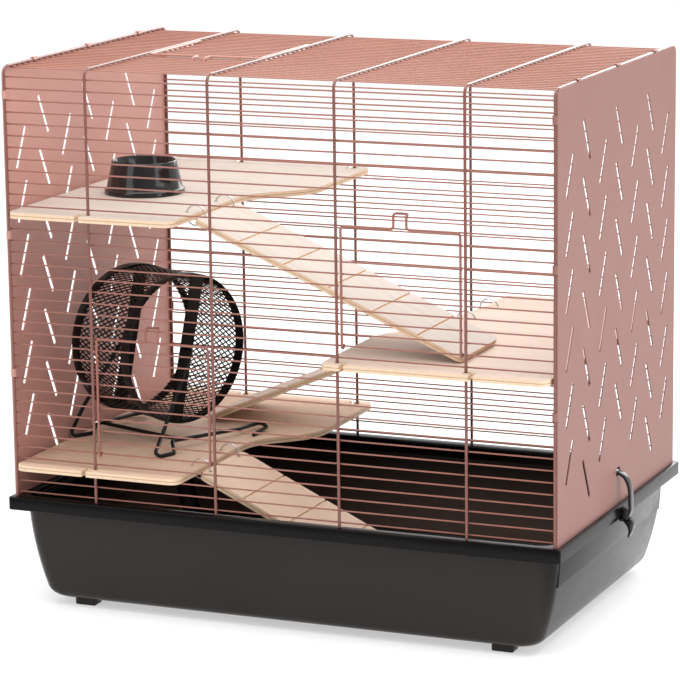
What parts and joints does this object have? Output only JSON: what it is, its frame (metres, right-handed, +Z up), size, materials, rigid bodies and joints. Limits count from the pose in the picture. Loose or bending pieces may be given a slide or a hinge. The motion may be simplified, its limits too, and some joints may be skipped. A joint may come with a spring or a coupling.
{
  "type": "rodent cage",
  "caption": "Wire rodent cage on a deep plastic tray, with slotted sheet ends, hinged doors, plywood shelves and ramps, a mesh running wheel, a food bowl and side clips.",
  "frame": {"origin": "on the ground under the middle of the footprint", "axes": "+X along the length to the right end, +Y from the front with its two doors to the back, +Z up"},
  "size_m": [0.606, 0.376, 0.5443],
  "materials": {
    "tray_plastic": "gloss moulded",
    "cage_wire": "copper rose powder coat",
    "panel_sheet": "satin rose powder coat",
    "plywood": "bare birch plywood",
    "ring_wire": "zinc plated",
    "bowl_plastic": "gloss moulded",
    "wheel_metal": "black powder coat",
    "clip_plastic": "moulded"
  },
  "bodies": {
    "cage": {"base_tray": "tray_plastic", "hoop_left_end": "cage_wire", "hoop_left_outer": "cage_wire", "hoop_left_inner": "cage_wire", "hoop_right_inner": "cage_wire", "hoop_right_outer": "cage_wire", "hoop_right_end": "cage_wire", "front_bars": "cage_wire", "back_bars": "cage_wire", "roof_bars": "cage_wire", "left_side_panel": "panel_sheet", "right_side_panel": "panel_sheet", "shelf_upper_left": "plywood", "shelf_middle_right": "plywood", "shelf_lower_left": "plywood", "ramp_rings_upper": "ring_wire", "ramp_rings_middle": "ring_wire", "ramp_rings_lower": "ring_wire", "wheel_stand_near": "wheel_metal", "wheel_stand_far": "wheel_metal", "wheel_stand_tie": "wheel_metal"},
    "front_left_door": {"front_left_door_frame": "cage_wire", "front_left_door_bars": "cage_wire"},
    "front_right_door": {"front_right_door_frame": "cage_wire", "front_right_door_bars": "cage_wire"},
    "roof_door": {"roof_door_frame": "cage_wire", "roof_door_bars": "cage_wire"},
    "upper_ramp": {"ramp_upper": "plywood"},
    "middle_ramp": {"ramp_middle": "plywood"},
    "lower_ramp": {"ramp_lower": "plywood"},
    "bowl": {"food_bowl": "bowl_plastic"},
    "wheel": {"wheel_mesh": "wheel_metal", "wheel_rim_near": "wheel_metal", "wheel_rim_far": "wheel_metal", "wheel_crossbar_near": "wheel_metal", "wheel_crossbar_far": "wheel_metal"},
    "left_clip": {"left_clip": "clip_plastic"},
    "right_clip": {"right_clip": "clip_plastic"}
  },
  "joints": [
    {"name": "front_left_door_hinge", "type": "hinge", "parent": "cage", "child": "front_left_door", "pos_m": [-0.13, -0.1751, 0.1635], "axis": [1, 0, 0], "range_deg": [0, 120]},
    {"name": "front_right_door_hinge", "type": "hinge", "parent": "cage", "child": "front_right_door", "pos_m": [0.13, -0.1751, 0.29], "axis": [1, 0, 0], "range_deg": [0, 120]},
    {"name": "roof_door_hinge", "type": "hinge", "parent": "cage", "child": "roof_door", "pos_m": [-0.13, 0.069, 0.5391], "axis": [-1, 0, 0], "range_deg": [0, 110]},
    {"name": "upper_ramp_swing", "type": "hinge", "parent": "cage", "child": "upper_ramp", "pos_m": [-0.1035, -0.095, 0.39735], "axis": [0, -1, 0], "range_deg": [0, 45]},
    {"name": "middle_ramp_swing", "type": "hinge", "parent": "cage", "child": "middle_ramp", "pos_m": [0.1035, 0.095, 0.27085], "axis": [0, 1, 0], "range_deg": [0, 4]},
    {"name": "lower_ramp_swing", "type": "hinge", "parent": "cage", "child": "lower_ramp", "pos_m": [-0.1035, -0.095, 0.14435], "axis": [0, -1, 0], "range_deg": [0, 40]},
    {"name": "bowl_lift", "type": "slide", "parent": "cage", "child": "bowl", "axis": [0, 0, 1], "range_m": [0, 0.05]},
    {"name": "wheel_spin", "type": "hinge", "parent": "cage", "child": "wheel", "pos_m": [-0.207, -0.008, 0.24035], "axis": [0.9135, -0.4067, 0], "continuous": true},
    {"name": "left_clip_release", "type": "hinge", "parent": "cage", "child": "left_clip", "pos_m": [-0.2846, 0, 0.145], "axis": [0, 1, 0], "range_deg": [0, 45]},
    {"name": "right_clip_release", "type": "hinge", "parent": "cage", "child": "right_clip", "pos_m": [0.2846, 0, 0.145], "axis": [0, -1, 0], "range_deg": [0, 45]}
  ]
}
